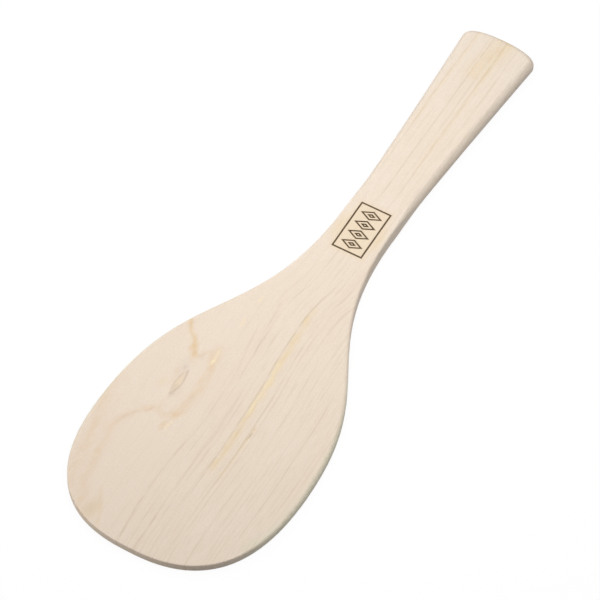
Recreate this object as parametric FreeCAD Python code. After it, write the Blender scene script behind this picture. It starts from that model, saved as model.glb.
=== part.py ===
"""Flat wooden rice paddle, shaped from a single board.

The paddle is one piece of wood: handle, neck and blade share the same grain, and nothing is joined to it.
Its form follows the way it is made. The outline is sawn from a planed board, the face of the blade is
planed down from the neck to a thin tip while the back stays flat, and the edges are eased by hand:
freely along the grip, less along the sides of the blade and the neck, and hardly at all round the tip.
Each flank is drawn in plan as a chain of curves. The wall and its rounded edges are spanned between rails
that follow those curves, so the easing widens and narrows smoothly from one station to the next.

Millimetres. The flat back lies on Z = 0 and the face looks to +Z. +X points from the handle to the blade
tip, and the origin is on the back, midway along the length.
"""
import FreeCAD
import Part
import os

Vector = FreeCAD.Vector

# Outline, with stations measured back from the blade tip
overall_length = 330.0
blade_width = 107.4
widest_from_tip = 60.8
neck_width = 26.4
neck_from_tip = 208.5
handle_end_width = 37.5
butt_length = 7.0

# How far each curve of the outline follows its end tangents, as a share of what it spans
tip_flat_share = 0.262
shoulder_share = 0.511
neck_share = 0.524
flare_share = 0.21
flare_straight_share = 0.5
butt_corner_share = 0.68
butt_flat_share = 0.63

# Thickness of the wood at the tip, and from the neck to the butt
tip_thickness = 3.9
handle_thickness = 8.0

# Radius of the eased edges at the tip, the widest part, the neck and the grip
tip_edge_radius = 0.5
side_edge_radius = 1.7
neck_edge_radius = 0.9
grip_edge_radius = 3.2
# The part of the tip's curve that stays crisp before the easing opens towards the widest part
crisp_share = 0.62
# The part of the handle over which the easing opens from the neck to the grip
throat_share = 0.29
# How far an eased edge follows the face and the wall before it turns: less than a true quarter round,
# as on an edge that was bevelled first and then rubbed down
easing_share = 0.46
# The most of the thickness that one eased edge may take
edge_limit_share = 0.45

rail_degree = 3


def at(from_tip, across):
    """The point in plan this far back from the blade tip and this far off the middle line."""
    return Vector(overall_length / 2 - from_tip, across, 0)


def between(start, end, share):
    """The point this share of the way from start to end."""
    return start + (end - start) * share


def divided(poles, share):
    """The poles of the two curves that one curve makes when it is cut at this share of its run."""
    first = [poles[0]]
    last = [poles[-1]]
    while len(poles) > 1:
        poles = [between(start, end, share) for start, end in zip(poles, poles[1:])]
        first.append(poles[0])
        last.insert(0, poles[-1])
    return first, last


def flank():
    """The poles of the +Y flank's outline in plan: tip, cheek, shoulder, throat, grip and butt."""
    half_blade = blade_width / 2
    half_neck = neck_width / 2
    half_end = handle_end_width / 2
    waist = neck_from_tip - widest_from_tip
    handle_end = overall_length - butt_length
    widest = at(widest_from_tip, half_blade)
    neck = at(neck_from_tip, half_neck)
    end = at(handle_end, half_end)
    flare_start = between(neck, at(handle_end, half_neck), flare_share)
    flare_middle = between(flare_start, end, flare_straight_share)
    flare_direction = (end - flare_start).normalize()

    tip_flat = at(0, half_blade * tip_flat_share)
    tip_curve, cheek_curve = divided([at(0, 0), tip_flat, at(0, half_blade), widest], crisp_share)
    shoulder_curve = [
        widest,
        at(widest_from_tip + waist * shoulder_share, half_blade),
        at(neck_from_tip - waist * neck_share, half_neck),
        neck,
    ]
    throat_curve, grip_curve = divided([neck, flare_start, flare_middle, end], throat_share)
    butt_curve = [
        end,
        end + flare_direction * butt_length * butt_corner_share,
        at(overall_length, half_end * butt_flat_share),
        at(overall_length, 0),
    ]
    return [tip_curve, cheek_curve, shoulder_curve, throat_curve, grip_curve, butt_curve]


def thickness(pole):
    """The thickness of the wood here: even along the handle, and tapering from the neck to the tip."""
    from_tip = overall_length / 2 - pole.x
    return tip_thickness + (handle_thickness - tip_thickness) * min(from_tip / neck_from_tip, 1)


def edge_radii(curves):
    """The edge radius at each pole, level where two curves meet and within what the wood has room for."""
    stations = [tip_edge_radius, tip_edge_radius, side_edge_radius, neck_edge_radius]
    stations += [grip_edge_radius] * (len(curves) + 1 - len(stations))
    radii = []
    for poles, start, end in zip(curves, stations, stations[1:]):
        wanted = [start, start, end, end]
        room = [thickness(pole) * edge_limit_share for pole in poles]
        radii.append([min(pair) for pair in zip(wanted, room)])
    return radii


def drawn_in(poles, radii):
    """The poles with each leg of their outline moved in by the edge radius."""
    legs = [(end - start).normalize() for start, end in zip(poles, poles[1:])]
    inward = [Vector(-leg.y, leg.x, 0) for leg in legs]
    moved = []
    for pole, radius, before, after in zip(poles, radii, inward[:1] + inward, inward + inward[-1:]):
        moved.append(pole + (before + after) * (radius / (1 + before.dot(after))))
    return moved


def mirrored(curves, side):
    """The curves on this side of the middle line."""
    return [[Vector(pole.x, pole.y * side, pole.z) for pole in poles] for poles in curves]


def lifted(poles, heights):
    """The poles raised off the back by these heights."""
    return [pole + Vector(0, 0, height) for pole, height in zip(poles, heights)]


def on_face(poles):
    """The poles raised onto the face."""
    return lifted(poles, [thickness(pole) for pole in poles])


def span(*rails):
    """The smooth face that these rails carry, in order across it."""
    degree = len(rails) - 1
    surface = Part.BSplineSurface()
    surface.buildFromPolesMultsKnots(
        [list(poles) for poles in rails],
        [degree + 1] * 2,
        [rail_degree + 1] * 2,
        [0, 1],
        [0, 1],
        False,
        False,
        degree,
        rail_degree,
    )
    return surface.toShape()


def rounded(start, corner, end):
    """The face that turns over an edge from one rail to another, inside the sharp corner."""
    turning_in = [between(*ends, easing_share) for ends in zip(start, corner)]
    turning_out = [between(*ends, easing_share) for ends in zip(end, corner)]
    return span(start, turning_in, turning_out, end)


def edge_skin(curves, radii, inner_curves):
    """The wall of one flank with its two rounded edges, as faces."""
    faces = []
    for outer, edge, inner in zip(curves, radii, inner_curves):
        wall_top = lifted(on_face(outer), [-radius for radius in edge])
        wall_foot = lifted(outer, edge)
        faces.append(rounded(on_face(inner), on_face(outer), wall_top))
        faces.append(span(wall_top, wall_foot))
        faces.append(rounded(wall_foot, outer, inner))
    return faces


def rail(poles):
    """The edge along one rail."""
    curve = Part.BezierCurve()
    curve.setPoles(poles)
    return curve.toShape()


def flat_face(rails, *across):
    """The flat face inside these rails, closed by straight edges across the wood."""
    edges = [rail(poles) for poles in rails]
    edges += [Part.makeLine(*ends) for ends in across]
    return Part.Face(Part.Wire(Part.__sortEdges__(edges)))


def paddle():
    """The whole paddle, from blade tip to butt, as one solid."""
    faces = []
    blade_rims = []
    handle_rims = []
    neck_ends = []
    curves = flank()
    radii = edge_radii(curves)
    rims = [drawn_in(*pair) for pair in zip(curves, radii)]
    for side in (1, -1):
        side_rims = mirrored(rims, side)
        faces += edge_skin(mirrored(curves, side), radii, side_rims)
        tip, cheek, shoulder, *handle = side_rims
        blade_rims += [tip, cheek, shoulder]
        handle_rims += handle
        neck_ends += on_face(shoulder[-1:])
    faces.append(flat_face([on_face(poles) for poles in blade_rims], neck_ends))
    faces.append(flat_face([on_face(poles) for poles in handle_rims], neck_ends))
    faces.append(flat_face(blade_rims + handle_rims))
    shell = Part.makeShell(faces)
    shell.sewShape()
    return Part.makeSolid(shell)


os.makedirs("parts", exist_ok=True)
paddle().exportStep("parts/paddle.step")
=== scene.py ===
"""Looks of a flat rice paddle: bare, sanded hardwood with its grain, knot and burnt mark, on a white floor.

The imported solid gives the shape. The paddle's visual piece is a copy of it, welded, with the mark sunk into
the neck and with even normals on its flat faces. The wood is one solid pattern in millimetres, so its rings
run on over the edges and the back.
"""

import math

import bmesh
import bpy
from mathutils import Matrix, Vector


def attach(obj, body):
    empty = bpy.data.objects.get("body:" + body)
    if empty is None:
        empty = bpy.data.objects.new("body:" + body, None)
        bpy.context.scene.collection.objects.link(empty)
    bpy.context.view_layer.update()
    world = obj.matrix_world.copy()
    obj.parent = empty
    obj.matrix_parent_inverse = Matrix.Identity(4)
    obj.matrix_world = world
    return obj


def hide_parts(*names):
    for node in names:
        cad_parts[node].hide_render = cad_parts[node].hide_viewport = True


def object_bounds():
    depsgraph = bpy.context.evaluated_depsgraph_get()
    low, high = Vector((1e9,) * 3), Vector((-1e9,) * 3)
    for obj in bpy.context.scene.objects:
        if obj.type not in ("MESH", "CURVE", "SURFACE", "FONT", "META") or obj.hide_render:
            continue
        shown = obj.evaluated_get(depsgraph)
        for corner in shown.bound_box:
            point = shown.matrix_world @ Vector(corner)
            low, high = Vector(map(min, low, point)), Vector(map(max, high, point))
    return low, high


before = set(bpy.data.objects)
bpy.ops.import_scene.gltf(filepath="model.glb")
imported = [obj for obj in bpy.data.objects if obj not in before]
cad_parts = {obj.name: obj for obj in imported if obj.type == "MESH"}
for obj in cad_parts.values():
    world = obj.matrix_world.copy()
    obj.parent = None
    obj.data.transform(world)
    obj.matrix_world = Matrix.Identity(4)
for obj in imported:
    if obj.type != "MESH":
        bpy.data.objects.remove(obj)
CAD_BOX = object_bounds()

bl_info = {
    "name": "Rice Paddle Looks",
    "version": (1, 0, 0),
    "blender": (4, 5, 0),
    "location": "3D View > Sidebar > Paddle",
    "description": "Dresses a packed rice paddle in bare hardwood and sets it on a white floor",
    "category": "Object",
}

MM = 0.001
PIECE = "paddle_wood"
NODE = "paddle"
BODY = "root"

# Sockets of Blender's Mix node when it mixes colours. Those of its Map Range node are 0 for the value, 1 and
# 2 for the range that it comes from, and 3 and 4 for the range that it goes to.
MIX_SHARE, MIX_FROM, MIX_TO, MIXED = 0, 6, 7, 2
BLACK = (0, 0, 0, 1)
DUSK = (0.2, 0.2, 0.2, 1)
WHITE = (1, 1, 1, 1)
# What every colour setting has in common
COLOUR = {"subtype": "COLOR", "size": 3, "min": 0, "max": 1}

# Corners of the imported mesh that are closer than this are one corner
WELD = 0.001 * MM
# A face whose normal is steeper than this counts as flat wood
LEVEL = math.cos(math.radians(2))
# How many times as high as the mark is deep the iron is, so that it stands clear of the face
IRON_HEIGHT = 4

# Lengths and places in what follows about the wood are in millimetres of the paddle's own frame
# Sizes of its patterns along the grain, across it and through the thickness
CLOUD_SIZE = (50, 16, 16)
WANDER_SIZE = (70, 16, 16)
WORN_SIZE = (22, 4, 4)
MOTTLE_SIZE = (6, 2, 2)
FINE_RING_SIZE = 1.25
# Fibres and nap are drawn coarser than real, so that they show
FIBRE_SIZE = (8, 0.7, 0.7)
NAP_SIZE = 0.7
# Size and height of the bumps that roughen the stains and the eye
STAIN_RAGGED = (5.0, 1.3)
EYE_RAGGED = (2.5, 0.6)
# How strong each finer layer is in the noises that look rough
ROUGH_LAYERS = 0.6
# Noises run from 0 to 1: the values between which each pattern rises from nothing to full
DASH_SPAN = (0.3, 0.6)
WORN_SPAN = (0.34, 0.64)
FINE_RING_SPAN = (0.45, 0.75)
FIBRE_SPAN = (0.45, 0.85)
NAP_SPAN = (0.4, 0.7)
SHEEN_SPAN = (0.3, 0.7)
# How much a colour covers the wood where each mark is strongest
BARK_COVER = 0.25
FINE_RING_COVER = 0.15
FIBRE_COVER = 0.12
NAP_COVER = 0.1
EDGE_SHADE_COVER = 0.9
END_GRAIN_COVER = 0.06
TAN_COVER = 0.45
SCORCH_COVER = 0.12
# What is left of the stains between their dashes, of the fine rings and fibres at the knot, and of the years
# on the handle
DASH_LEAST = 0.25
KNOT_LEAST = 0.25
HANDLE_LEAST = 0.35
# How warm the wood is at the butt and at the tip, and how far the clouds swing that
WARMTH_DRIFT = (-0.6, 0.4)
CLOUD_SWING = 1.2
# How level a surface is where the painted shade on the edge starts and is full, and how squarely it faces
# along the grain where end grain starts and is full
EDGE_SHADE_TURN = (0.98, 0.6)
END_GRAIN_TURN = (0.5, 1.0)
# Roughness of the sanded wood, from its smoothest to its dullest, and how its fibres stand out
WOOD_ROUGHNESS = (0.5, 0.64)
FIBRE_RELIEF = 0.06
FIBRE_BUMP = 0.25
# Cracks and pits of the char: how far apart and how deep they are, and how strongly they show. Then its
# roughness.
CHAR_SIZE = 2.5
CHAR_RELIEF = 0.1
CHAR_BUMP = 0.4
CHAR_ROUGHNESS = 0.85

# The heart of the tree, off the middle line and below the back, and the height of the face over it
HEART = (-150.0, -30.0)
FACE_HEIGHT = 6.0
# How far the rings wander, and how far they lean aside along the paddle, as shares of LEAN_RANGE. The butt
# and the tip come first.
WANDER = 2.0
LEAN_RANGE = 12.0
LEAN = ((0.0, 0.46), (1.0, 0.625), (0.464, 0.475), (0.503, 0.4), (0.53, 0.233), (0.564, 0.15),
        (0.606, 0.167), (0.636, 0.21), (0.676, 0.31), (0.718, 0.4), (0.818, 0.48), (0.9, 0.483),
        (0.951, 0.525))
# The years that ended in a dark line: where each crosses the face, its half width, and its strength
RING_RANGE = (-60.0, 60.0)
YEARS = ((-35.5, 0.5, 0.04), (-20.8, 0.5, 0.06), (-12.6, 0.4, 0.14), (-7.2, 0.5, 0.08), (-2.4, 0.4, 0.26),
         (1.8, 0.5, 0.12), (4.6, 0.4, 0.12), (8.0, 0.4, 0.14), (13.0, 0.4, 0.14), (15.4, 0.5, 0.26),
         (17.6, 0.4, 0.14), (21.4, 0.6, 0.26), (25.6, 0.5, 0.14), (29.4, 0.5, 0.14), (34.0, 0.5, 0.14),
         (40.0, 0.6, 0.3), (44.0, 0.4, 0.14), (47.7, 0.5, 0.2))
# How many years one colour ramp has room for
RAMP_YEARS = 9
# Where across the face the fine rings fade towards the knot, and where along it the years fade towards the
# handle
KNOT_SIDE = (-18.0, 0.0)
HANDLE_SIDE = (-80.0, 0.0)
# The middle of the blade's sides along the paddle, and how far from it the painted shade on the edge is
# greyest and plain again
BLADE_SIDE_SHADE = (82.0, 35.0, 68.0)

# Stained paths over the face: the stain, the axis they run along, their half width and strength, and their
# points, along that axis and off it
PATHS = (
    # The handle: a yellow patch at the butt, two pale stripes, and the lines of six years
    ("streak", "X", 8.5, 0.6, ((-186, 3.0), (-165, 2.4), (-157, 1.6), (-147, -0.6), (-134, -1.5))),
    ("streak", "X", 2.0, 0.3, ((-186, 3.4), (-150, 3.6), (-120, 3.8), (-70, 3.8))),
    ("streak", "X", 1.8, 0.3, ((-186, -11.4), (-150, -11.4), (-120, -11.6), (-96, -11.8))),
    ("latewood", "X", 0.7, 0.2, ((-180, -12.2), (-158, -12.2), (-140, -12.2), (-122, -12.1), (-110, -11.6),
                                 (-98, -11.2), (-86, -11.0), (-66, -10.7))),
    ("latewood", "X", 0.7, 0.17, ((-180, -4.5), (-160, -4.2), (-140, -3.8), (-115, -3.2), (-85, -2.8),
                                  (-65, -2.3), (-50, -2.0))),
    ("latewood", "X", 0.7, 0.16, ((-180, 2.3), (-161, 2.5), (-140, 2.9), (-120, 3.1), (-98, 3.5),
                                  (-74, 4.2), (-50, 4.8))),
    ("latewood", "X", 0.7, 0.15, ((-180, 8.8), (-150, 9.0), (-132, 9.2), (-98, 9.0), (-80, 8.8))),
    ("latewood", "X", 0.7, 0.06, ((-180, -0.3), (-158, 0.0), (-146, 0.2), (-122, 0.8), (-98, 1.2),
                                  (-74, 1.8), (-50, 2.4))),
    ("latewood", "X", 0.7, 0.09, ((-180, -5.9), (-158, -5.7), (-146, -5.5), (-130, -5.4))),
    # The years that bow round the knot, two of them in stretches that fade into each other
    ("latewood", "X", 0.9, 0.24, ((178, -4.5), (160, -6.2), (150, -7.4), (140, -8.2), (130, -8.5),
                                  (120, -8.5), (112, -8.1), (105, -7.3), (95, -6.5))),
    ("latewood", "X", 0.9, 0.13, ((104, -7.2), (97, -6.6), (85, -6.4), (75, -6.9), (65, -7.3), (55, -8.6),
                                  (45, -10.6), (30, -12.8))),
    ("latewood", "X", 0.9, 0.23, ((175, 3.6), (160, 2.5), (150, 2.3), (142, 1.9))),
    ("latewood", "X", 0.9, 0.14, ((147, 2.2), (140, 1.8), (130, 1.6), (120, 1.6), (112, 1.7), (100, 2.0),
                                  (90, 2.0), (80, 1.4), (66, 0.0))),
    ("latewood", "X", 0.9, 0.15, ((52, -5.2), (46, -6.2), (40, -7.3), (31, -8.5), (22, -9.8), (15, -11.0))),
    # The yellow streak with its gleam, a short one beside it, and painted shade in the edge's colour along
    # the outer rim
    ("streak", "X", 2.8, 0.8, ((8, 5.0), (20, 5.2), (26, 5.8), (33, 6.1), (41, 6.5), (50, 7.2), (57, 8.0),
                               (65, 8.5), (80, 9.5), (90, 9.9), (100, 10.2), (118, 10.3))),
    ("streak", "X", 1.5, 0.4, ((80, 15.6), (95, 15.7), (104, 15.8), (116, 15.9))),
    ("fleck", "X", 1.5, 0.7, ((44, 6.8), (50, 7.2), (57, 7.8), (65, 8.3), (80, 9.1))),
    ("edge", "X", 4.5, 0.9, ((52, 47.5), (66, 50.6), (80, 52.6), (104, 53.7), (116, 53.0), (125, 51.0),
                             (134, 48.0), (146, 42.0))),
    # The figure round the knot
    ("figure", "X", 3.6, 0.16, ((36, -47), (46.7, -41), (48.8, -38.9), (52.9, -35.2), (57.5, -31.4),
                                (61.7, -29.3), (68, -27))),
    ("figure", "X", 1.9, 0.28, ((44, -43), (49, -38.6), (54, -34.2), (57.5, -31.4), (60.5, -29.6),
                                (64, -28.0))),
    ("band", "Y", 2.6, 0.22, ((-34, 59.5), (-29.3, 61.7), (-27.7, 62.1), (-25.6, 60.4), (-24.3, 57.5),
                              (-22.7, 56.7), (-20, 55.8))),
    ("band", "X", 4.2, 0.24, ((50, -20.5), (61, -19.4), (65.8, -18.3), (73.3, -17.6), (81.7, -17.2),
                              (86.7, -17.8), (91.7, -19), (101, -22))),
    ("band", "Y", 3.0, 0.16, ((-36, 99.5), (-28.9, 96.2), (-26.8, 95.8), (-24.3, 97), (-21, 95),
                              (-14, 90))),
    ("band", "X", 9.0, 0.07, ((80, -54), (104, -49), (120, -45.5), (135, -41), (150, -34), (172, -20))),
    ("figure", "X", 1.8, 0.16, ((142, -27.4), (148, -24.7), (152, -22.3), (156.7, -19.8), (168, -16))),
    ("knot", "X", 1.2, 0.08, ((92, -27), (96, -29), (99.2, -32.2), (102.1, -35.2), (105, -37.2),
                              (112, -40))),
    ("band", "X", 3.6, 0.15, ((86, -26), (96, -29), (99.2, -32.2), (102.1, -35.2), (105, -37.2),
                              (107.5, -38.9), (110.8, -40.2), (115, -40.6), (121, -38.8), (128.3, -38.1),
                              (134.2, -36.8), (139.2, -36.4), (144.2, -35.8), (147, -33.9), (150, -31.8),
                              (166, -28))),
    ("band", "X", 4.0, 0.12, ((92, -53), (106.7, -50.6), (111.7, -48.9), (118.3, -47.7), (124.2, -46),
                              (129, -45.4), (137.5, -44.3), (143, -43), (160, -35))),
    # The fine year on the streak's edge
    ("latewood", "X", 0.7, 0.28, ((-8, 7.6), (3, 5.6), (10, 4.4), (18, 3.7), (25, 3.6), (30, 3.9),
                                  (40, 4.4), (48, 5.0), (60, 6.3), (70, 7.1), (85, 7.7), (95, 8.3),
                                  (110, 8.6), (132, 9.2))),
)
# Paths narrower than this keep to their points, and wider ones get a ragged edge
FINE = 1.0
# The share of its length over which a path fades at each end
PATH_FADE = 0.12
# Ovals on the face that reach through the wood: the stain, the middle, the half size, and the strength
THROUGH = 900.0
SPOTS = (
    # Round the eye of the knot and at the tip
    ("streak", (78.3, -27.1), (7.5, 2.4), 0.6), ("streak", (81.7, -33.5), (5.0, 3.2), 0.35),
    ("streak", (156.0, -24.2), (9.0, 4.6), 0.5), ("knot", (156.0, -24.7), (9.0, 4.2), 0.12),
    # Where the figure is strongest
    ("figure", (57.8, -31.3), (3.4, 2.2), 0.4), ("latewood", (47.6, -39.6), (4.4, 3.0), 0.08),
    ("figure", (101.7, -21.2), (4.0, 2.0), 0.27), ("figure", (63.5, -18.4), (5.0, 1.8), 0.08),
    ("figure", (128.5, -38.3), (2.6, 2.0), 0.2), ("figure", (154.0, -31.8), (2.8, 1.6), 0.18),
    ("latewood", (82.5, -17.2), (4.0, 2.0), 0.1), ("latewood", (60.5, -25.6), (3.2, 2.8), 0.12),
    # Gleams, and the yellower wood beside two of them
    ("fleck", (101.0, -18.7), (4.8, 1.2), 0.75), ("fleck", (60.4, -19.9), (4.2, 1.5), 0.95),
    ("fleck", (36.0, -19.4), (4.6, 1.1), 0.65), ("fleck", (21.0, -19.1), (4.0, 1.0), 0.55),
    ("fleck", (60.8, -19.8), (1.8, 1.2), 0.8), ("fleck", (55.4, -20.0), (2.8, 1.3), 0.6),
    ("band", (59.6, -22.0), (3.6, 1.8), 0.2), ("figure", (101.5, -20.2), (4.0, 0.9), 0.08),
    # Browner wood round the eye
    ("knot", (85.4, -26.4), (3.6, 1.5), 0.2), ("knot", (71.0, -29.8), (9.0, 4.5), 0.08),
    ("knot", (81.2, -27.0), (2.4, 1.0), 0.16), ("knot", (83.0, -24.4), (6.0, 2.4), 0.06),
    ("knot", (69.8, -28.4), (2.6, 1.5), 0.14), ("band", (78.5, -30.2), (6.5, 1.6), 0.1),
    ("figure", (73.5, -31.5), (2.6, 2.0), 0.12),
    # A dark dash beside the streak
    ("knot", (87.0, 15.7), (3.0, 0.7), 0.4), ("figure", (82.6, 15.7), (1.8, 0.9), 0.2),
    # Scorched wood on both sides of the mark
    ("streak", (-33.0, -9.8), (11.0, 3.2), 0.6), ("streak", (-34.5, 10.0), (10.0, 2.8), 0.6),
)
# The eye of the knot: its middle, half size and turn, and the line of bark round it
EYE = (78.0, -27.0)
EYE_SIZE = (7.2, 1.5)
EYE_TURN = math.radians(-2)
EYE_STOPS = ((0.0, DUSK), (1.0, BLACK), (0.26, DUSK), (0.44, WHITE), (0.56, WHITE), (0.78, BLACK))

# The stage, in metres: half the floor's side and how far it lies under the paddle, what the floor gives back
# to the lamps where it is seen, its own glow there, and what it gives back to the paddle
FLOOR_REACH = 6.0
FLOOR_DROP = 0.1 * MM
FLOOR_SEEN = (0.09, 0.09, 0.09, 1)
FLOOR_GLOW = 0.93
FLOOR_BOUNCE = (0.38, 0.38, 0.38, 1)
SENSOR_WIDTH = 36
# Lamps: the setting that holds the power, the size, the place, and the point that they face
LAMPS = (
    ("soft_box", (0.535, 0.535), (-0.037, -0.045, 0.25), (0, 0, 0)),
    ("side_card", (0.4, 0.4), (0, 0.5, 0.87), (0, 0, 0)),
    ("low_card", (0.4, 0.1), (0.45, -0.52, 0.06), (0.15, 0, 0)),
)


def linear(hex_colour):
    """An sRGB hex value as linear red, green and blue."""
    channels = [int(hex_colour[start:start + 2], 16) / 255 for start in (1, 3, 5)]
    return tuple(c / 12.92 if c <= 0.04045 else ((c + 0.055) / 1.055) ** 2.4 for c in channels)


def opaque(colour):
    """A colour with the alpha that a node's socket wants."""
    return (*colour, 1.0)


def add(tree, kind, links=None, stops=(), **settings):
    """One node of a tree: its settings, its inputs set or linked, and the stops of its ramp or curve.

    Of the stops, the two at the ends come first, as a new ramp or curve has them already.
    """
    made = tree.nodes.new(kind)
    for name, value in settings.items():
        setattr(made, name, value)
    for socket, value in (links or {}).items():
        if isinstance(value, bpy.types.NodeSocket):
            tree.links.new(value, made.inputs[socket])
        else:
            made.inputs[socket].default_value = value
    for index, (place, value) in enumerate(stops):
        if hasattr(made, "color_ramp"):
            elements = made.color_ramp.elements
            stop = elements[index] if index < 2 else elements.new(place)
            stop.color = value
        else:
            points = made.mapping.curves[0].points
            point = points[index] if index < 2 else points.new(0, 0)
            point.location = place, value
    if hasattr(made, "mapping"):
        made.mapping.update()
    return made


class PaddleWoodSettings(bpy.types.PropertyGroup):
    """Colours of the bare wood, and of the painted shade on its edges."""

    pale: bpy.props.FloatVectorProperty(
        name="Pale wood", description="Main colour of the sanded wood", default=linear("#F7E8D7"), **COLOUR)
    warm: bpy.props.FloatVectorProperty(
        name="Warm wood", description="Colour of the warmer clouds in the wood",
        default=linear("#F4E2CF"), **COLOUR)
    latewood: bpy.props.FloatVectorProperty(
        name="Latewood", description="Colour of the dark line that ends a year's growth",
        default=linear("#B79B68"), **COLOUR)
    streak: bpy.props.FloatVectorProperty(
        name="Mineral streak", description="Colour of the yellow streak along one ring",
        default=linear("#F2DAB2"), **COLOUR)
    figure: bpy.props.FloatVectorProperty(
        name="Figure", description="Colour of the band that runs round the knot",
        default=linear("#E4B445"), **COLOUR)
    band: bpy.props.FloatVectorProperty(
        name="Bands", description="Colour of the duller bands round the figure",
        default=linear("#E4B469"), **COLOUR)
    knot: bpy.props.FloatVectorProperty(
        name="Knot", description="Colour of the bark line round the eye of the knot",
        default=linear("#966846"), **COLOUR)
    # The edge's colour is painted shade: the greyer, greener tone of the light on the tilted edges and walls
    edge: bpy.props.FloatVectorProperty(
        name="Edge", description="Colour of the sawn and rubbed edge", default=linear("#EAE2CA"), **COLOUR)
    fleck: bpy.props.FloatVectorProperty(
        name="Ray fleck", description="Colour of the bright flecks and gleams",
        default=linear("#FFEDC8"), **COLOUR)


class PaddleMarkSettings(bpy.types.PropertyGroup):
    """Sizes and colours of the burnt mark on the neck."""

    station: bpy.props.FloatProperty(
        name="Station", description="Where the middle of the mark is along the paddle", unit="LENGTH",
        default=-35.6 * MM)
    offset: bpy.props.FloatProperty(
        name="Offset", description="How far the middle of the mark is off the middle line", unit="LENGTH",
        default=0.2 * MM)
    turn: bpy.props.FloatProperty(
        name="Turn", description="How far the hand-held iron was turned", subtype="ANGLE",
        default=math.radians(1.2))
    length: bpy.props.FloatProperty(
        name="Length", description="Length of the frame along the paddle", unit="LENGTH", min=5 * MM,
        default=28.0 * MM)
    width: bpy.props.FloatProperty(
        name="Width", description="Width of the frame across the paddle", unit="LENGTH", min=3 * MM,
        default=15.8 * MM)
    frame_line: bpy.props.FloatProperty(
        name="Frame line", description="Width of the burnt frame line", unit="LENGTH", min=0.1 * MM,
        default=0.8 * MM)
    lozenges: bpy.props.IntProperty(
        name="Lozenges", description="How many nested lozenges stand in a row inside the frame", min=1,
        default=4)
    row_length: bpy.props.FloatProperty(
        name="Row length", description="Length of the row of lozenges along the paddle", unit="LENGTH",
        min=3 * MM, default=24.0 * MM)
    row_width: bpy.props.FloatProperty(
        name="Row width", description="Width of the row of lozenges across the paddle", unit="LENGTH",
        min=2 * MM, default=11.0 * MM)
    row_line: bpy.props.FloatProperty(
        name="Row line", description="Width of the lines of the lozenges", unit="LENGTH", min=0.1 * MM,
        default=0.7 * MM)
    nest: bpy.props.FloatProperty(
        name="Nest", description="Size of the inner lozenge as a share of the outer one", subtype="FACTOR",
        min=0.25, max=0.5, default=0.3)
    depth: bpy.props.FloatProperty(
        name="Depth", description="How deep the iron sinks into the wood", unit="LENGTH", min=0.05 * MM,
        default=0.3 * MM)
    char: bpy.props.FloatVectorProperty(
        name="Char", description="Colour of the burnt wood", default=linear("#453525"), **COLOUR)
    ember: bpy.props.FloatVectorProperty(
        name="Ember", description="Colour of the wood in the lines that burnt less",
        default=linear("#7A6245"), **COLOUR)
    halo: bpy.props.FloatProperty(
        name="Halo", description="How far from a line the wood is scorched", unit="LENGTH", min=0.1 * MM,
        default=1.2 * MM)
    scorch: bpy.props.FloatVectorProperty(
        name="Scorch", description="Colour of the wood scorched beside a line",
        default=linear("#C9A26B"), **COLOUR)


class PaddleStageSettings(bpy.types.PropertyGroup):
    """Camera, lamps and room."""

    azimuth: bpy.props.FloatProperty(
        name="Azimuth", description="Direction that the camera stands in", subtype="ANGLE",
        default=math.radians(121.33))
    elevation: bpy.props.FloatProperty(
        name="Elevation", description="How high the camera stands", subtype="ANGLE",
        default=math.radians(54.15))
    distance: bpy.props.FloatProperty(
        name="Distance", description="From the camera to the point it looks at", unit="LENGTH", default=3.3)
    look_at: bpy.props.FloatVectorProperty(
        name="Look at", description="The point the camera looks at", subtype="TRANSLATION", size=3,
        default=(7.75 * MM, -6.28 * MM, 0))
    lens: bpy.props.FloatProperty(
        name="Lens", description="Focal length of the camera in millimetres", default=436.4)
    soft_box: bpy.props.FloatProperty(
        name="Soft box", description="Power of the soft box above the handle", unit="POWER", default=0.97)
    side_card: bpy.props.FloatProperty(
        name="Side card", description="Power of the card that lights the near edge", unit="POWER",
        default=1.24)
    low_card: bpy.props.FloatProperty(
        name="Low card", description="Power of the low card before the tip", unit="POWER", default=1.1)
    fill: bpy.props.FloatProperty(
        name="Fill", description="Brightness of the white room around the paddle", min=0, default=0.2)


def along_paddle(tree, place):
    """0 at the butt, rising to 1 at the tip."""
    axes = add(tree, "ShaderNodeSeparateXYZ", {0: place})
    butt, tip = (corner[0] / MM for corner in CAD_BOX)
    return add(tree, "ShaderNodeMapRange", {0: axes.outputs["X"], 1: butt, 2: tip}).outputs[0]


def patches(tree, place, size, detail):
    """Soft patches about this long, wide and deep, with this many finer layers, as values round a half."""
    fitted = add(tree, "ShaderNodeMapping", {"Vector": place, "Scale": size}, vector_type="TEXTURE")
    noise = add(tree, "ShaderNodeTexNoise", {"Vector": fitted.outputs[0], "Scale": 1, "Detail": detail})
    return noise.outputs["Fac"]


def ragged(tree, place, size, height):
    """The place shaken by up to this height, with bumps of this size, to give drawn forms natural edges."""
    noise = add(tree, "ShaderNodeTexNoise", {"Vector": place, "Scale": 1 / size, "Detail": 3,
                                             "Roughness": ROUGH_LAYERS})
    drawn_back = add(tree, "ShaderNodeVectorMath", {0: place, 1: (height, height, 0)}, operation="SUBTRACT")
    shaken = add(tree, "ShaderNodeVectorMath", {0: noise.outputs["Color"], 1: (2 * height, 2 * height, 0),
                                                2: drawn_back.outputs[0]}, operation="MULTIPLY_ADD")
    return shaken.outputs[0]


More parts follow.
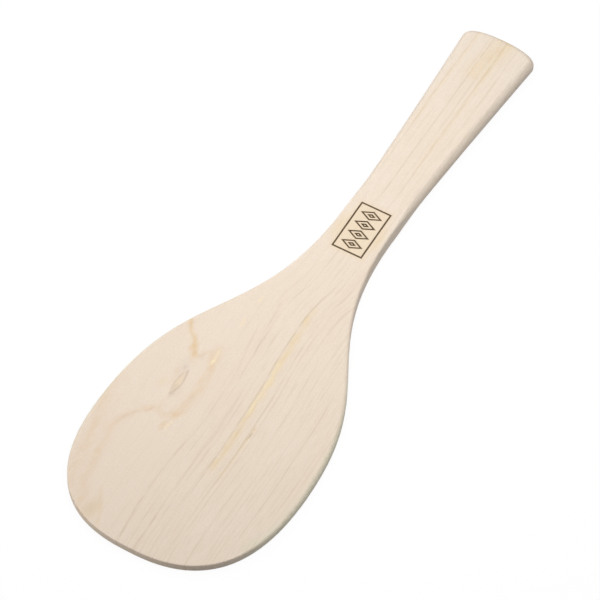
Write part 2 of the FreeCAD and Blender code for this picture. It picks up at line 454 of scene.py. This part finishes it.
def growth(tree, place):
    """Distance across the grain from the heart of the tree: each year's ring runs at an even value."""
    axes = add(tree, "ShaderNodeSeparateXYZ", {0: place})
    lean = add(tree, "ShaderNodeFloatCurve", {"Value": along_paddle(tree, place)}, stops=LEAN)
    upright = add(tree, "ShaderNodeMath", {0: lean.outputs[0], 1: -LEAN_RANGE, 2: axes.outputs["Y"]},
                  operation="MULTIPLY_ADD")
    # No ring is quite straight: a slow wander along the grain
    wander = patches(tree, place, WANDER_SIZE, 2)
    across = add(tree, "ShaderNodeMath", {0: wander, 1: WANDER, 2: upright.outputs[0]},
                 operation="MULTIPLY_ADD")
    cut = add(tree, "ShaderNodeCombineXYZ", {"Y": across.outputs[0], "Z": axes.outputs["Z"]})
    apart = add(tree, "ShaderNodeVectorMath", {0: cut.outputs[0], 1: (0, *HEART)}, operation="DISTANCE")
    return apart.outputs["Value"]


def ring(across):
    """The growth on the face, this far off the middle line where the grain stands upright."""
    return math.hypot(across + (WANDER - LEAN_RANGE) / 2 - HEART[0], FACE_HEIGHT - HEART[1])


def year_stops(years):
    """The stops of a ramp over RING_RANGE that is dark but for a line where each of these years ended."""
    low, high = (ring(limit) for limit in RING_RANGE)
    stops = [(0.0, BLACK), (1.0, BLACK)]
    for across, half_width, strength in years:
        for side, value in ((-1, 0), (0, strength), (1, 0)):
            place = (ring(across + side * half_width) - low) / (high - low)
            stops.append((place, (value, value, value, 1)))
    return stops


def trail(tree, along, across, half_width, path):
    """1 on a path that is drawn in millimetres, fading to 0 at half_width beside it and towards its ends."""
    starts, offs = zip(*path)
    # A millimetre to spare on both sides, as the curve may swing past its points
    low, high = min(offs) - 1, max(offs) + 1
    length = starts[-1] - starts[0]
    stops = [((start - starts[0]) / length, (off - low) / (high - low)) for start, off in path]
    ends_first = [stops[0], stops[-1], *stops[1:-1]]
    run = add(tree, "ShaderNodeMapRange", {0: along, 1: starts[0], 2: starts[-1]})
    drawn = add(tree, "ShaderNodeFloatCurve", {"Value": run.outputs[0]}, stops=ends_first)
    middle = add(tree, "ShaderNodeMapRange", {0: drawn.outputs[0], 3: low, 4: high})
    off = add(tree, "ShaderNodeMath", {0: across, 1: middle.outputs[0]}, operation="SUBTRACT")
    apart = add(tree, "ShaderNodeMath", {0: off.outputs[0]}, operation="ABSOLUTE")
    beside = add(tree, "ShaderNodeMapRange", {0: apart.outputs[0], 1: 0, 2: half_width, 3: 1, 4: 0},
                 interpolation_type="SMOOTHSTEP")
    inside = add(tree, "ShaderNodeMath", {0: run.outputs[0], 1: 0.5}, operation="PINGPONG")
    faded = add(tree, "ShaderNodeMapRange", {0: inside.outputs[0], 1: 0, 2: PATH_FADE},
                interpolation_type="SMOOTHSTEP")
    shown = add(tree, "ShaderNodeMath", {0: beside.outputs[0], 1: faded.outputs[0]}, operation="MULTIPLY")
    return shown.outputs[0]


def spot(tree, place, middle, half_size):
    """1 in the middle of an oval on the face, fading to 0 at its edge."""
    oval = add(tree, "ShaderNodeMapping", {"Vector": place, "Location": (*middle, 0),
                                           "Scale": (*half_size, THROUGH)}, vector_type="TEXTURE")
    fade = add(tree, "ShaderNodeTexGradient", {"Vector": oval.outputs[0]}, gradient_type="SPHERICAL")
    return fade.outputs["Fac"]


def lens(tree, place):
    """How far out of the eye's middle, with a half on the line of a lens that is pointed at both ends."""
    local = add(tree, "ShaderNodeMapping", {"Vector": place, "Location": (*EYE, 0),
                                            "Rotation": (0, 0, EYE_TURN), "Scale": (*EYE_SIZE, 1)},
                vector_type="TEXTURE")
    axes = add(tree, "ShaderNodeSeparateXYZ", {0: local.outputs[0]})
    aside = add(tree, "ShaderNodeMath", {0: axes.outputs["Y"]}, operation="ABSOLUTE")
    out = add(tree, "ShaderNodeMath", {0: axes.outputs["X"], 1: axes.outputs["X"], 2: aside.outputs[0]},
              operation="MULTIPLY_ADD")
    return add(tree, "ShaderNodeMath", {0: out.outputs[0], 1: 0.5}, operation="MULTIPLY").outputs[0]


def stained(tree, colour, shares, stain, strength):
    """A colour of the wood, stained by this strength where all the shares are 1."""
    held = strength
    for share in shares:
        shown = add(tree, "ShaderNodeMath", {0: share, 1: held}, operation="MULTIPLY", use_clamp=True)
        held = shown.outputs[0]
    mixed = add(tree, "ShaderNodeMix", {MIX_SHARE: held, MIX_FROM: colour, MIX_TO: opaque(stain)},
                data_type="RGBA")
    return mixed.outputs[MIXED]


def row_sizes(mark):
    """From one lozenge to the next, and the half length and half width of a lozenge along its line."""
    step = mark.row_length / mark.lozenges
    return step, step / 2 - mark.row_line, mark.row_width / 2 - mark.row_line


def off_frame(tree, sides, mark):
    """How far outside the frame's line a point is, and below 0 inside it."""
    beyond = []
    for side, size in zip(sides, (mark.length, mark.width)):
        past = add(tree, "ShaderNodeMath", {0: side, 1: (size - mark.frame_line) / 2 / MM},
                   operation="SUBTRACT")
        beyond.append(past.outputs[0])
    return add(tree, "ShaderNodeMath", {0: beyond[0], 1: beyond[1]}, operation="MAXIMUM").outputs[0]


def off_lozenges(tree, along, aside, mark):
    """How far a point is from the line of the nearest inner lozenge, and of the nearest outer one."""
    step, half_length, half_width = (size / MM for size in row_sizes(mark))
    first = step * (mark.lozenges - 1) / 2
    counted = add(tree, "ShaderNodeMath", {0: along, 1: first}, operation="ADD")
    ahead = add(tree, "ShaderNodeMath", {0: counted.outputs[0], 1: step / 2}, operation="PINGPONG")
    across = add(tree, "ShaderNodeMath", {0: aside, 1: 1 / half_width}, operation="MULTIPLY")
    # How far out of the lozenge's middle, with 1 on the outer line
    out = add(tree, "ShaderNodeMath", {0: ahead.outputs[0], 1: 1 / half_length, 2: across.outputs[0]},
              operation="MULTIPLY_ADD")
    line_apart = half_length * half_width / math.hypot(half_length, half_width)
    offs = []
    for share in (mark.nest, 1):
        missed = add(tree, "ShaderNodeMath", {0: out.outputs[0], 1: share}, operation="SUBTRACT")
        apart = add(tree, "ShaderNodeMath", {0: missed.outputs[0]}, operation="ABSOLUTE")
        off = add(tree, "ShaderNodeMath", {0: apart.outputs[0], 1: line_apart}, operation="MULTIPLY")
        offs.append(off.outputs[0])
    return offs


def scorch(tree, place, mark):
    """How near a point is to the lines of the mark, and whether it is inside its frame, each from 0 to 1."""
    middle = (mark.station / MM, mark.offset / MM, 0)
    local = add(tree, "ShaderNodeMapping", {"Vector": place, "Location": middle,
                                            "Rotation": (0, 0, mark.turn)}, vector_type="TEXTURE")
    axes = add(tree, "ShaderNodeSeparateXYZ", {0: local.outputs[0]})
    sides = []
    for axis in "XY":
        side = add(tree, "ShaderNodeMath", {0: axes.outputs[axis]}, operation="ABSOLUTE")
        sides.append(side.outputs[0])
    outside = off_frame(tree, sides, mark)
    nearest = add(tree, "ShaderNodeMath", {0: outside}, operation="ABSOLUTE").outputs[0]
    for off in off_lozenges(tree, axes.outputs["X"], sides[1], mark):
        # The row ends at the frame
        kept = add(tree, "ShaderNodeMath", {0: off, 1: outside}, operation="MAXIMUM")
        nearest = add(tree, "ShaderNodeMath", {0: nearest, 1: kept.outputs[0]},
                      operation="MINIMUM").outputs[0]
    reach = mark.halo / MM
    near = add(tree, "ShaderNodeMapRange", {0: nearest, 1: mark.row_line / 2 / MM, 2: reach, 3: 1, 4: 0},
               interpolation_type="SMOOTHSTEP")
    # The yellow goes three times as far out as the brown
    within = add(tree, "ShaderNodeMapRange", {0: outside, 1: -reach, 2: 3 * reach, 3: 1, 4: 0},
                 interpolation_type="SMOOTHSTEP")
    return near.outputs[0], within.outputs[0]


def clouded(tree, place, wood):
    """The wood's own colour, which warms slowly towards the tip, with clouds tens of millimetres long."""
    cool, warm = WARMTH_DRIFT
    drift = add(tree, "ShaderNodeMapRange", {0: along_paddle(tree, place), 3: cool, 4: warm})
    clouds = patches(tree, place, CLOUD_SIZE, 3)
    warmth = add(tree, "ShaderNodeMath", {0: clouds, 1: CLOUD_SWING, 2: drift.outputs[0]},
                 operation="MULTIPLY_ADD", use_clamp=True)
    mixed = add(tree, "ShaderNodeMix", {MIX_SHARE: warmth.outputs[0], MIX_FROM: opaque(wood.pale),
                                        MIX_TO: opaque(wood.warm)}, data_type="RGBA")
    return mixed.outputs[MIXED]


def figured(tree, place, colour, wood):
    """The colour with its stains: the streak, the figure round the knot, odd spots and the knot's eye."""
    plain = add(tree, "ShaderNodeSeparateXYZ", {0: place})
    rough_place = ragged(tree, place, *STAIN_RAGGED)
    rough = add(tree, "ShaderNodeSeparateXYZ", {0: rough_place})
    # The grain breaks the stains up into darker and paler dashes
    mottle = patches(tree, place, MOTTLE_SIZE, 3)
    low, high = DASH_SPAN
    dashes = add(tree, "ShaderNodeMapRange", {0: mottle, 1: low, 2: high, 3: DASH_LEAST, 4: 1}).outputs[0]
    for stain, axis, half_width, strength, path in PATHS:
        axes = plain if half_width < FINE else rough
        share = trail(tree, axes.outputs[axis], axes.outputs["Y" if axis == "X" else "X"], half_width, path)
        colour = stained(tree, colour, (share, dashes), getattr(wood, stain), strength)
    for stain, middle, half_size, strength in SPOTS:
        share = spot(tree, rough_place, middle, half_size)
        colour = stained(tree, colour, (share,), getattr(wood, stain), strength)
    eye = lens(tree, ragged(tree, place, *EYE_RAGGED))
    bark = add(tree, "ShaderNodeValToRGB", {"Fac": eye}, stops=EYE_STOPS)
    return stained(tree, colour, (bark.outputs["Color"], dashes), wood.knot, BARK_COVER)


def ringed(tree, place, colour, fibre, wood):
    """The colour with the tree's rings drawn on it, worn away in places, and with its fibres and nap."""
    grown = growth(tree, place)
    axes = add(tree, "ShaderNodeSeparateXYZ", {0: place})
    worn_patches = patches(tree, place, WORN_SIZE, 2)
    low, high = WORN_SPAN
    worn = add(tree, "ShaderNodeMapRange", {0: worn_patches, 1: low, 2: high}).outputs[0]
    off_knot, clear_of_knot = (ring(limit) for limit in KNOT_SIDE)
    clear = add(tree, "ShaderNodeMapRange", {0: grown, 1: off_knot, 2: clear_of_knot, 3: KNOT_LEAST, 4: 1},
                interpolation_type="SMOOTHSTEP").outputs[0]

    # Fine rings about a millimetre apart, by a one-dimensional noise across the growth
    fine = add(tree, "ShaderNodeTexNoise", {"W": grown, "Scale": 1 / FINE_RING_SIZE, "Detail": 2,
                                            "Roughness": ROUGH_LAYERS}, noise_dimensions="1D")
    low, high = FINE_RING_SPAN
    lines = add(tree, "ShaderNodeMapRange", {0: fine.outputs["Fac"], 1: low, 2: high}).outputs[0]
    colour = stained(tree, colour, (lines, worn, clear), wood.latewood, FINE_RING_COVER)

    # The years that ended in a plain dark line
    low, high = (ring(limit) for limit in RING_RANGE)
    span = add(tree, "ShaderNodeMapRange", {0: grown, 1: low, 2: high}).outputs[0]
    handle, blade = HANDLE_SIDE
    off_handle = add(tree, "ShaderNodeMapRange", {0: axes.outputs["X"], 1: handle, 2: blade,
                                                  3: HANDLE_LEAST, 4: 1})
    for years in (YEARS[:RAMP_YEARS], YEARS[RAMP_YEARS:]):
        lines = add(tree, "ShaderNodeValToRGB", {"Fac": span}, stops=year_stops(years)).outputs["Color"]
        colour = stained(tree, colour, (lines, worn, off_handle.outputs[0]), wood.latewood, 1)

    # Fibres, and the nap that sanding leaves
    low, high = FIBRE_SPAN
    fibres = add(tree, "ShaderNodeMapRange", {0: fibre, 1: low, 2: high}).outputs[0]
    colour = stained(tree, colour, (fibres, clear), wood.latewood, FIBRE_COVER)
    nap = add(tree, "ShaderNodeTexNoise", {"Vector": place, "Scale": 1 / NAP_SIZE, "Detail": 2,
                                           "Roughness": ROUGH_LAYERS})
    low, high = NAP_SPAN
    raised = add(tree, "ShaderNodeMapRange", {0: nap.outputs["Fac"], 1: low, 2: high}).outputs[0]
    return stained(tree, colour, (raised,), wood.latewood, NAP_COVER)


def edge_shade_end_grain_and_scorch(tree, place, colour, wood, mark):
    """The colour with painted shade on the edges: greyer and greener where the blade's surface tilts, for the
    light that falls there. Duller on the end grain, and scorched.
    """
    axes = add(tree, "ShaderNodeSeparateXYZ", {0: place})
    # Painted shade: the tilted edges and walls of the blade turn greyer and greener, for the tint of the
    # light that falls on them
    facing = add(tree, "ShaderNodeNewGeometry")
    normal = add(tree, "ShaderNodeSeparateXYZ", {0: facing.outputs["Normal"]})
    flat = add(tree, "ShaderNodeMath", {0: normal.outputs["Z"]}, operation="ABSOLUTE")
    starts, full = EDGE_SHADE_TURN
    edge = add(tree, "ShaderNodeMapRange", {0: flat.outputs[0], 1: starts, 2: full, 3: 0, 4: 1}).outputs[0]
    middle, greyest, plain = BLADE_SIDE_SHADE
    off_middle = add(tree, "ShaderNodeMath", {0: axes.outputs["X"], 1: middle}, operation="SUBTRACT")
    apart = add(tree, "ShaderNodeMath", {0: off_middle.outputs[0]}, operation="ABSOLUTE")
    shade_on_blade = add(tree, "ShaderNodeMapRange", {0: apart.outputs[0], 1: greyest, 2: plain, 3: 1, 4: 0})
    colour = stained(tree, colour, (edge, shade_on_blade.outputs[0]), wood.edge, EDGE_SHADE_COVER)

    # End grain drinks the light where the surface faces along the grain
    ends_on = add(tree, "ShaderNodeMath", {0: normal.outputs["X"]}, operation="ABSOLUTE")
    starts, full = END_GRAIN_TURN
    end_grain = add(tree, "ShaderNodeMapRange", {0: ends_on.outputs[0], 1: starts, 2: full}).outputs[0]
    colour = stained(tree, colour, (end_grain,), wood.latewood, END_GRAIN_COVER)

    # The iron's heat: yellow inside the frame, brown close to its lines, on the face only
    near, within = scorch(tree, place, mark)
    colour = stained(tree, colour, (within, normal.outputs["Z"]), wood.streak, TAN_COVER)
    return stained(tree, colour, (near, normal.outputs["Z"]), mark.scorch, SCORCH_COVER)


def bare_maple(wood, mark):
    """Bare maple-like hardwood, planed and sanded: pale and matt, with fine rings that show as soft lines.

    It gives the eye a cream face with hair lines along the grain, a yellow streak, a knot with its figure, a
    dull sheen at low angles, painted shade that greys the edge, and a yellow scorch round the burnt mark.
    """
    material = bpy.data.materials.new("bare_hardwood_sanded")
    material.use_nodes = True
    tree = material.node_tree
    shader = tree.nodes["Principled BSDF"]
    coordinates = add(tree, "ShaderNodeTexCoord")
    place = add(tree, "ShaderNodeVectorMath", {0: coordinates.outputs["Object"], "Scale": 1 / MM},
                operation="SCALE").outputs[0]
    fibre = patches(tree, place, FIBRE_SIZE, 3)
    colour = clouded(tree, place, wood)
    colour = figured(tree, place, colour, wood)
    colour = ringed(tree, place, colour, fibre, wood)
    colour = edge_shade_end_grain_and_scorch(tree, place, colour, wood, mark)
    tree.links.new(colour, shader.inputs["Base Color"])
    low, high = SHEEN_SPAN
    smoothest, dullest = WOOD_ROUGHNESS
    dull = add(tree, "ShaderNodeMapRange", {0: fibre, 1: low, 2: high, 3: smoothest, 4: dullest})
    tree.links.new(dull.outputs[0], shader.inputs["Roughness"])
    relief = add(tree, "ShaderNodeBump", {"Height": fibre, "Strength": FIBRE_BUMP,
                                          "Distance": FIBRE_RELIEF * MM})
    tree.links.new(relief.outputs[0], shader.inputs["Normal"])
    return material


def charred_wood(mark):
    """Hardwood charred by a hot iron: dead matt, near black, with brown where it burnt less."""
    material = bpy.data.materials.new("charred_hardwood")
    material.use_nodes = True
    tree = material.node_tree
    shader = tree.nodes["Principled BSDF"]
    coordinates = add(tree, "ShaderNodeTexCoord")
    burn = add(tree, "ShaderNodeTexNoise", {"Vector": coordinates.outputs["Object"],
                                            "Scale": 1 / (CHAR_SIZE * MM), "Detail": 4}).outputs["Fac"]
    tone = add(tree, "ShaderNodeMix", {MIX_SHARE: burn, MIX_FROM: opaque(mark.char),
                                       MIX_TO: opaque(mark.ember)}, data_type="RGBA")
    tree.links.new(tone.outputs[MIXED], shader.inputs["Base Color"])
    shader.inputs["Roughness"].default_value = CHAR_ROUGHNESS
    relief = add(tree, "ShaderNodeBump", {"Height": burn, "Strength": CHAR_BUMP,
                                          "Distance": CHAR_RELIEF * MM})
    tree.links.new(relief.outputs[0], shader.inputs["Normal"])
    return material


def band(mesh, corners, line, height):
    """Adds to the mesh a closed band of this width along these corners, lying on the plane of the mark."""
    loops = []
    for side in (-line / 2, line / 2):
        edge = []
        for before, corner, after in zip(corners[-1:] + corners[:-1], corners, corners[1:] + corners[:1]):
            coming = (corner - before).normalized()
            going = (after - corner).normalized()
            across = Vector((coming.y + going.y, -coming.x - going.x, 0))
            edge.append(corner + across * side / (1 + coming.dot(going)))
        for rise in (0, height):
            loops.append([mesh.verts.new(place + Vector((0, 0, rise))) for place in edge])
    inner_low, inner_high, outer_low, outer_high = loops
    around = (inner_low, outer_low, outer_high, inner_high, inner_low)
    for one, other in zip(around, around[1:]):
        for index in range(-1, len(corners) - 1):
            mesh.faces.new((one[index], one[index + 1], other[index + 1], other[index]))


def iron(mark, height):
    """The face of the branding iron as a mesh: a frame round a row of nested lozenges."""
    mesh = bmesh.new()
    half_length = (mark.length - mark.frame_line) / 2
    half_width = (mark.width - mark.frame_line) / 2
    sides = ((1, 1), (-1, 1), (-1, -1), (1, -1))
    corners = [Vector((x * half_length, y * half_width, 0)) for x, y in sides]
    band(mesh, corners, mark.frame_line, height)
    step, half_length, half_width = row_sizes(mark)
    points = ((1, 0), (0, 1), (-1, 0), (0, -1))
    for index in range(mark.lozenges):
        middle = Vector((step * (index - (mark.lozenges - 1) / 2), 0, 0))
        for share in (mark.nest, 1):
            corners = [middle + Vector((x * half_length, y * half_width, 0)) * share for x, y in points]
            band(mesh, corners, mark.row_line, height)
    bmesh.ops.recalc_face_normals(mesh, faces=mesh.faces)
    return mesh


def pressed(piece, mark):
    """Where the iron stands on the piece: turned by hand, square to the face, and sunk into it."""
    above = Vector((mark.station, mark.offset, CAD_BOX[1][2] + mark.length))
    hit, place, normal, _ = piece.ray_cast(above, Vector((0, 0, -1)))
    if not hit:
        raise RuntimeError("the mark's station is off the paddle")
    laid = Vector((0, 0, 1)).rotation_difference(normal).to_matrix().to_4x4()
    turned = Matrix.Rotation(mark.turn, 4, "Z")
    return Matrix.Translation(place - normal * mark.depth) @ laid @ turned


def sunk(context, piece, tool):
    """The mesh of a piece with the form of a tool cut out of it, and the cut in the tool's material."""
    cut = piece.modifiers.new("mark", "BOOLEAN")
    cut.object = tool
    cut.operation = "DIFFERENCE"
    cut.solver = "EXACT"
    cut.material_mode = "TRANSFER"
    context.view_layer.update()
    mesh = bpy.data.meshes.new_from_object(piece.evaluated_get(context.evaluated_depsgraph_get()))
    piece.modifiers.clear()
    return mesh


def corner_normals(mesh):
    """The normal at each corner: even on the flat faces and the char, and turning smoothly over edges."""
    level = {}
    turning = {}
    for face in mesh.polygons:
        for vertex in face.vertices:
            if abs(face.normal.z) > LEVEL:
                level[vertex] = face.normal.copy()
            elif not face.material_index:
                turning[vertex] = turning.get(vertex, Vector()) + face.normal * face.area
    normals = []
    for face in mesh.polygons:
        for vertex in face.vertices:
            if face.material_index or abs(face.normal.z) > LEVEL:
                normals.append(face.normal.copy())
            else:
                normals.append(level.get(vertex, turning[vertex].normalized()))
    return normals


class PADDLE_OT_shape_wood(bpy.types.Operator):
    """Makes the paddle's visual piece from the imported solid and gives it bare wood"""

    bl_idname = "paddle.shape_wood"
    bl_label = "Shape the Wood"

    def execute(self, context):
        mesh = bmesh.new()
        mesh.from_mesh(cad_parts[NODE].data)
        bmesh.ops.remove_doubles(mesh, verts=mesh.verts, dist=WELD)
        bmesh.ops.recalc_face_normals(mesh, faces=mesh.faces)
        data = bpy.data.meshes.new(PIECE)
        mesh.to_mesh(data)
        mesh.free()
        piece = bpy.data.objects.new(PIECE, data)
        context.scene.collection.objects.link(piece)
        data.materials.clear()
        data.materials.append(bare_maple(context.scene.paddle_wood, context.scene.paddle_mark))
        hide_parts(NODE)
        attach(piece, BODY)
        return {"FINISHED"}


class PADDLE_OT_burn_mark(bpy.types.Operator):
    """Sinks the mark of the iron into the neck and smooths the piece"""

    bl_idname = "paddle.burn_mark"
    bl_label = "Burn the Mark"

    def execute(self, context):
        mark = context.scene.paddle_mark
        piece = bpy.data.objects[PIECE]
        mesh = iron(mark, IRON_HEIGHT * mark.depth)
        mesh.transform(pressed(piece, mark))
        data = bpy.data.meshes.new("iron")
        mesh.to_mesh(data)
        mesh.free()
        data.materials.append(charred_wood(mark))
        tool = bpy.data.objects.new("iron", data)
        context.scene.collection.objects.link(tool)
        burnt = sunk(context, piece, tool)
        bpy.data.objects.remove(tool)
        if len(burnt.materials) < 2:
            raise RuntimeError("the mark didn't cut into the wood")
        burnt.shade_smooth()
        burnt.normals_split_custom_set(corner_normals(burnt))
        piece.data = burnt
        return {"FINISHED"}


def seen_rays(tree):
    """1 for the rays that show a white background: the camera's own, and those mirrored or sent through."""
    rays = add(tree, "ShaderNodeLightPath")
    mirrored = add(tree, "ShaderNodeMath", {0: rays.outputs["Is Camera Ray"],
                                            1: rays.outputs["Is Glossy Ray"]}, operation="MAXIMUM")
    sent = add(tree, "ShaderNodeMath", {0: mirrored.outputs[0], 1: rays.outputs["Is Transmission Ray"]},
               operation="MAXIMUM")
    return sent.outputs[0]


def white_paper():
    """Matt white paper: it shows white with the paddle's soft shadow, and lights the edge from below."""
    material = bpy.data.materials.new("white_paper_floor")
    material.use_nodes = True
    tree = material.node_tree
    tree.nodes.clear()
    paper = add(tree, "ShaderNodeBsdfDiffuse", {"Color": FLOOR_SEEN})
    glow = add(tree, "ShaderNodeEmission", {"Color": WHITE, "Strength": FLOOR_GLOW})
    lit = add(tree, "ShaderNodeAddShader", {0: paper.outputs[0], 1: glow.outputs[0]})
    bounce = add(tree, "ShaderNodeBsdfDiffuse", {"Color": FLOOR_BOUNCE})
    shown = add(tree, "ShaderNodeMixShader", {0: seen_rays(tree), 1: bounce.outputs[0], 2: lit.outputs[0]})
    add(tree, "ShaderNodeOutputMaterial", {"Surface": shown.outputs[0]})
    return material


def white_room(fill):
    """A room that is white to look at, and gives the paddle this much even light."""
    world = bpy.data.worlds.new("white_room")
    world.use_nodes = True
    tree = world.node_tree
    tree.nodes.clear()
    room = add(tree, "ShaderNodeBackground", {"Color": WHITE, "Strength": fill})
    white = add(tree, "ShaderNodeBackground", {"Color": WHITE, "Strength": 1})
    shown = add(tree, "ShaderNodeMixShader", {0: seen_rays(tree), 1: room.outputs[0], 2: white.outputs[0]})
    add(tree, "ShaderNodeOutputWorld", {"Surface": shown.outputs[0]})
    return world


def white_floor():
    """One large square of paper just under the paddle."""
    data = bpy.data.meshes.new("floor")
    corners = [(x * FLOOR_REACH, y * FLOOR_REACH, 0) for x, y in ((-1, -1), (1, -1), (1, 1), (-1, 1))]
    data.from_pydata(corners, [], [range(len(corners))])
    data.materials.append(white_paper())
    floor = bpy.data.objects.new("floor", data)
    floor.location.z = -FLOOR_DROP
    return floor


def soft_lamp(name, power, size, place, aim):
    """A flat lamp of this power and size, facing a point."""
    light = bpy.data.lights.new(name, "AREA")
    light.shape = "RECTANGLE"
    light.energy = power
    light.size, light.size_y = size
    lamp = bpy.data.objects.new(name, light)
    lamp.location = place
    lamp.rotation_euler = (Vector(aim) - lamp.location).to_track_quat("-Z", "Y").to_euler()
    return lamp


def long_camera(stage):
    """The camera, far off with a long lens."""
    data = bpy.data.cameras.new("camera")
    data.sensor_fit = "HORIZONTAL"
    data.sensor_width = SENSOR_WIDTH
    data.lens = stage.lens
    camera = bpy.data.objects.new("camera", data)
    flat = math.cos(stage.elevation)
    aside, ahead = math.sin(stage.azimuth) * flat, -math.cos(stage.azimuth) * flat
    towards = Vector((aside, ahead, math.sin(stage.elevation)))
    camera.location = Vector(stage.look_at) + towards * stage.distance
    camera.rotation_euler = towards.to_track_quat("Z", "Y").to_euler()
    return camera


class PADDLE_OT_set_stage(bpy.types.Operator):
    """Sets the white floor, the soft lamps and the camera"""

    bl_idname = "paddle.set_stage"
    bl_label = "Set the Stage"

    def execute(self, context):
        scene = context.scene
        stage = scene.paddle_stage
        scene.view_settings.view_transform = "Standard"
        scene.world = white_room(stage.fill)
        floor = white_floor()
        scene.collection.objects.link(floor)
        for name, size, place, aim in LAMPS:
            scene.collection.objects.link(soft_lamp(name, getattr(stage, name), size, place, aim))
        scene.camera = long_camera(stage)
        scene.collection.objects.link(scene.camera)
        return {"FINISHED"}


class VIEW3D_PT_paddle(bpy.types.Panel):
    """Lists the paddle's steps and settings"""

    bl_label = "Rice Paddle"
    bl_space_type = "VIEW_3D"
    bl_region_type = "UI"
    bl_category = "Paddle"

    def draw(self, context):
        layout = self.layout
        for operator, settings in STEPS:
            layout.operator(operator.bl_idname)
            group = getattr(context.scene, settings)
            for name in group.bl_rna.properties.keys():
                if name not in ("rna_type", "name"):
                    layout.prop(group, name)


STEPS = (
    (PADDLE_OT_shape_wood, "paddle_wood"),
    (PADDLE_OT_burn_mark, "paddle_mark"),
    (PADDLE_OT_set_stage, "paddle_stage"),
)
GROUPS = (
    ("paddle_wood", PaddleWoodSettings),
    ("paddle_mark", PaddleMarkSettings),
    ("paddle_stage", PaddleStageSettings),
)
CLASSES = (*[group for _, group in GROUPS], *[operator for operator, _ in STEPS], VIEW3D_PT_paddle)


def register():
    for made in CLASSES:
        bpy.utils.register_class(made)
    for name, group in GROUPS:
        setattr(bpy.types.Scene, name, bpy.props.PointerProperty(type=group))


def unregister():
    for name, _ in GROUPS:
        delattr(bpy.types.Scene, name)
    for made in reversed(CLASSES):
        bpy.utils.unregister_class(made)


def main():
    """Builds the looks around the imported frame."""
    register()
    bpy.ops.paddle.shape_wood()
    bpy.ops.paddle.burn_mark()
    bpy.ops.paddle.set_stage()


if __name__ == "__main__":
    main()
